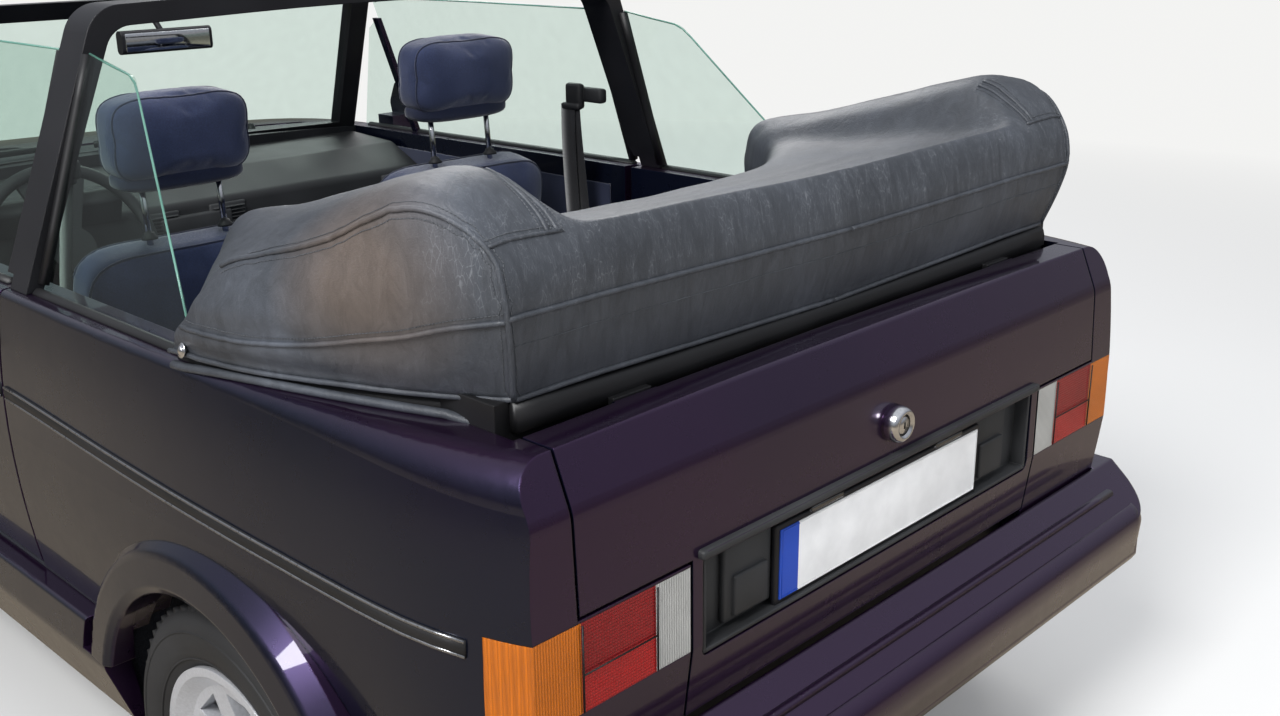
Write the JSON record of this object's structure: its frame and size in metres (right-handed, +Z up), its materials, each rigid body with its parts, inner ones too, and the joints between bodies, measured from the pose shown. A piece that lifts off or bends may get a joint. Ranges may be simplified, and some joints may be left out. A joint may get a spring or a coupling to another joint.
{
  "type": "convertible car",
  "caption": "Small two-door convertible with a fixed roll bar, the soft top folded under its cover, doors, lids and steering that move.",
  "frame": {"origin": "on the ground, on the centreline, midway along the overall length", "axes": "+X forward along the car, +Y to the car's left, +Z up"},
  "size_m": [3.8896, 1.936, 1.4069],
  "materials": {
    "paint": "dark metallic violet blue, glossy clear coat",
    "underbody": "matt black underbody coating",
    "black_plastic": "grained black",
    "window_glass": "clear with a slight green tint",
    "lamp_glass": "ribbed clear glass",
    "lamp_lens": "moulded lens in amber, red and clear",
    "seat_cloth": "woven blue cloth",
    "cover_vinyl": "grained slate blue vinyl, worn at the folds",
    "tyre_rubber": "black rubber",
    "alloy": "silver painted alloy",
    "steel": "plain steel",
    "engine_iron": "cast, oily grey"
  },
  "bodies": {
    "body": {"quarter_panels": "paint", "front_wings": "paint", "front_panel": "paint", "rear_bumper": "paint", "front_bumper": "paint", "arch_flares": "paint", "side_skirts": "paint", "tail_panel": "paint", "firewall": "paint", "windscreen_frame": "paint", "roll_bar": "paint", "floor_pan": "underbody", "rear_bulkhead": "underbody", "wheel_houses": "underbody", "fuel_tank": "underbody", "grille": "black_plastic", "dashboard": "black_plastic", "console": "black_plastic", "hood_tray": "black_plastic", "quarter_glass": "window_glass", "windscreen_glass": "window_glass", "headlamps": "lamp_glass", "tail_lamps": "lamp_lens", "front_seats": "seat_cloth", "headrests": "seat_cloth", "rear_seat": "seat_cloth", "top_cover": "cover_vinyl", "front_crossmember": "steel", "rear_axle": "steel", "exhaust": "steel", "tow_eye": "steel", "engine_block": "engine_iron"},
    "door_left": {"door_left": "paint", "door_glass_left": "window_glass", "mirror_left": "paint"},
    "door_right": {"door_right": "paint", "door_glass_right": "window_glass", "mirror_right": "paint"},
    "bonnet": {"bonnet": "paint"},
    "boot_lid": {"boot_lid": "paint"},
    "steering_wheel": {"steering_wheel": "black_plastic"},
    "knuckle_left": {"knuckle_left": "steel"},
    "knuckle_right": {"knuckle_right": "steel"},
    "wheel_front_left": {"tyre_front_left": "tyre_rubber", "rim_front_left": "alloy"},
    "wheel_front_right": {"tyre_front_right": "tyre_rubber", "rim_front_right": "alloy"},
    "wheel_rear_left": {"tyre_rear_left": "tyre_rubber", "rim_rear_left": "alloy"},
    "wheel_rear_right": {"tyre_rear_right": "tyre_rubber", "rim_rear_right": "alloy"}
  },
  "joints": [
    {"name": "door_left_swing", "type": "hinge", "parent": "body", "child": "door_left", "pos_m": [0.54, 0.805, 0.6], "axis": [0, 0, -1], "range_deg": [0, 65]},
    {"name": "door_right_swing", "type": "hinge", "parent": "body", "child": "door_right", "pos_m": [0.54, -0.805, 0.6], "axis": [0, 0, 1], "range_deg": [0, 65]},
    {"name": "bonnet_lift", "type": "hinge", "parent": "body", "child": "bonnet", "pos_m": [0.704, 0, 0.932], "axis": [0, -1, 0], "range_deg": [0, 50]},
    {"name": "boot_lid_lift", "type": "hinge", "parent": "body", "child": "boot_lid", "pos_m": [-1.766, 0, 0.949], "axis": [0, 1, 0], "range_deg": [0, 75]},
    {"name": "steering_wheel_turn", "type": "hinge", "parent": "body", "child": "steering_wheel", "pos_m": [0.095, 0.345, 0.818], "axis": [-0.9135, 0, 0.4067], "range_deg": [-544, 544]},
    {"name": "knuckle_left_steer", "type": "hinge", "parent": "body", "child": "knuckle_left", "pos_m": [1.155, 0.626, 0.286], "axis": [0, -0.225, 0.9744], "range_deg": [-32, 32]},
    {"name": "knuckle_right_steer", "type": "hinge", "parent": "body", "child": "knuckle_right", "pos_m": [1.155, -0.626, 0.286], "axis": [0, 0.225, 0.9744], "range_deg": [-32, 32]},
    {"name": "wheel_front_left_spin", "type": "hinge", "parent": "knuckle_left", "child": "wheel_front_left", "pos_m": [1.155, 0.702, 0.286], "axis": [0, 1, 0], "continuous": true},
    {"name": "wheel_front_right_spin", "type": "hinge", "parent": "knuckle_right", "child": "wheel_front_right", "pos_m": [1.155, -0.702, 0.286], "axis": [0, 1, 0], "continuous": true},
    {"name": "wheel_rear_left_spin", "type": "hinge", "parent": "body", "child": "wheel_rear_left", "pos_m": [-1.245, 0.7, 0.286], "axis": [0, 1, 0], "continuous": true},
    {"name": "wheel_rear_right_spin", "type": "hinge", "parent": "body", "child": "wheel_rear_right", "pos_m": [-1.245, -0.7, 0.286], "axis": [0, 1, 0], "continuous": true}
  ],
  "couplings": [
    {"joint": "knuckle_left_steer", "follows": "steering_wheel_turn", "ratio": 0.058824},
    {"joint": "knuckle_right_steer", "follows": "steering_wheel_turn", "ratio": 0.058824}
  ]
}
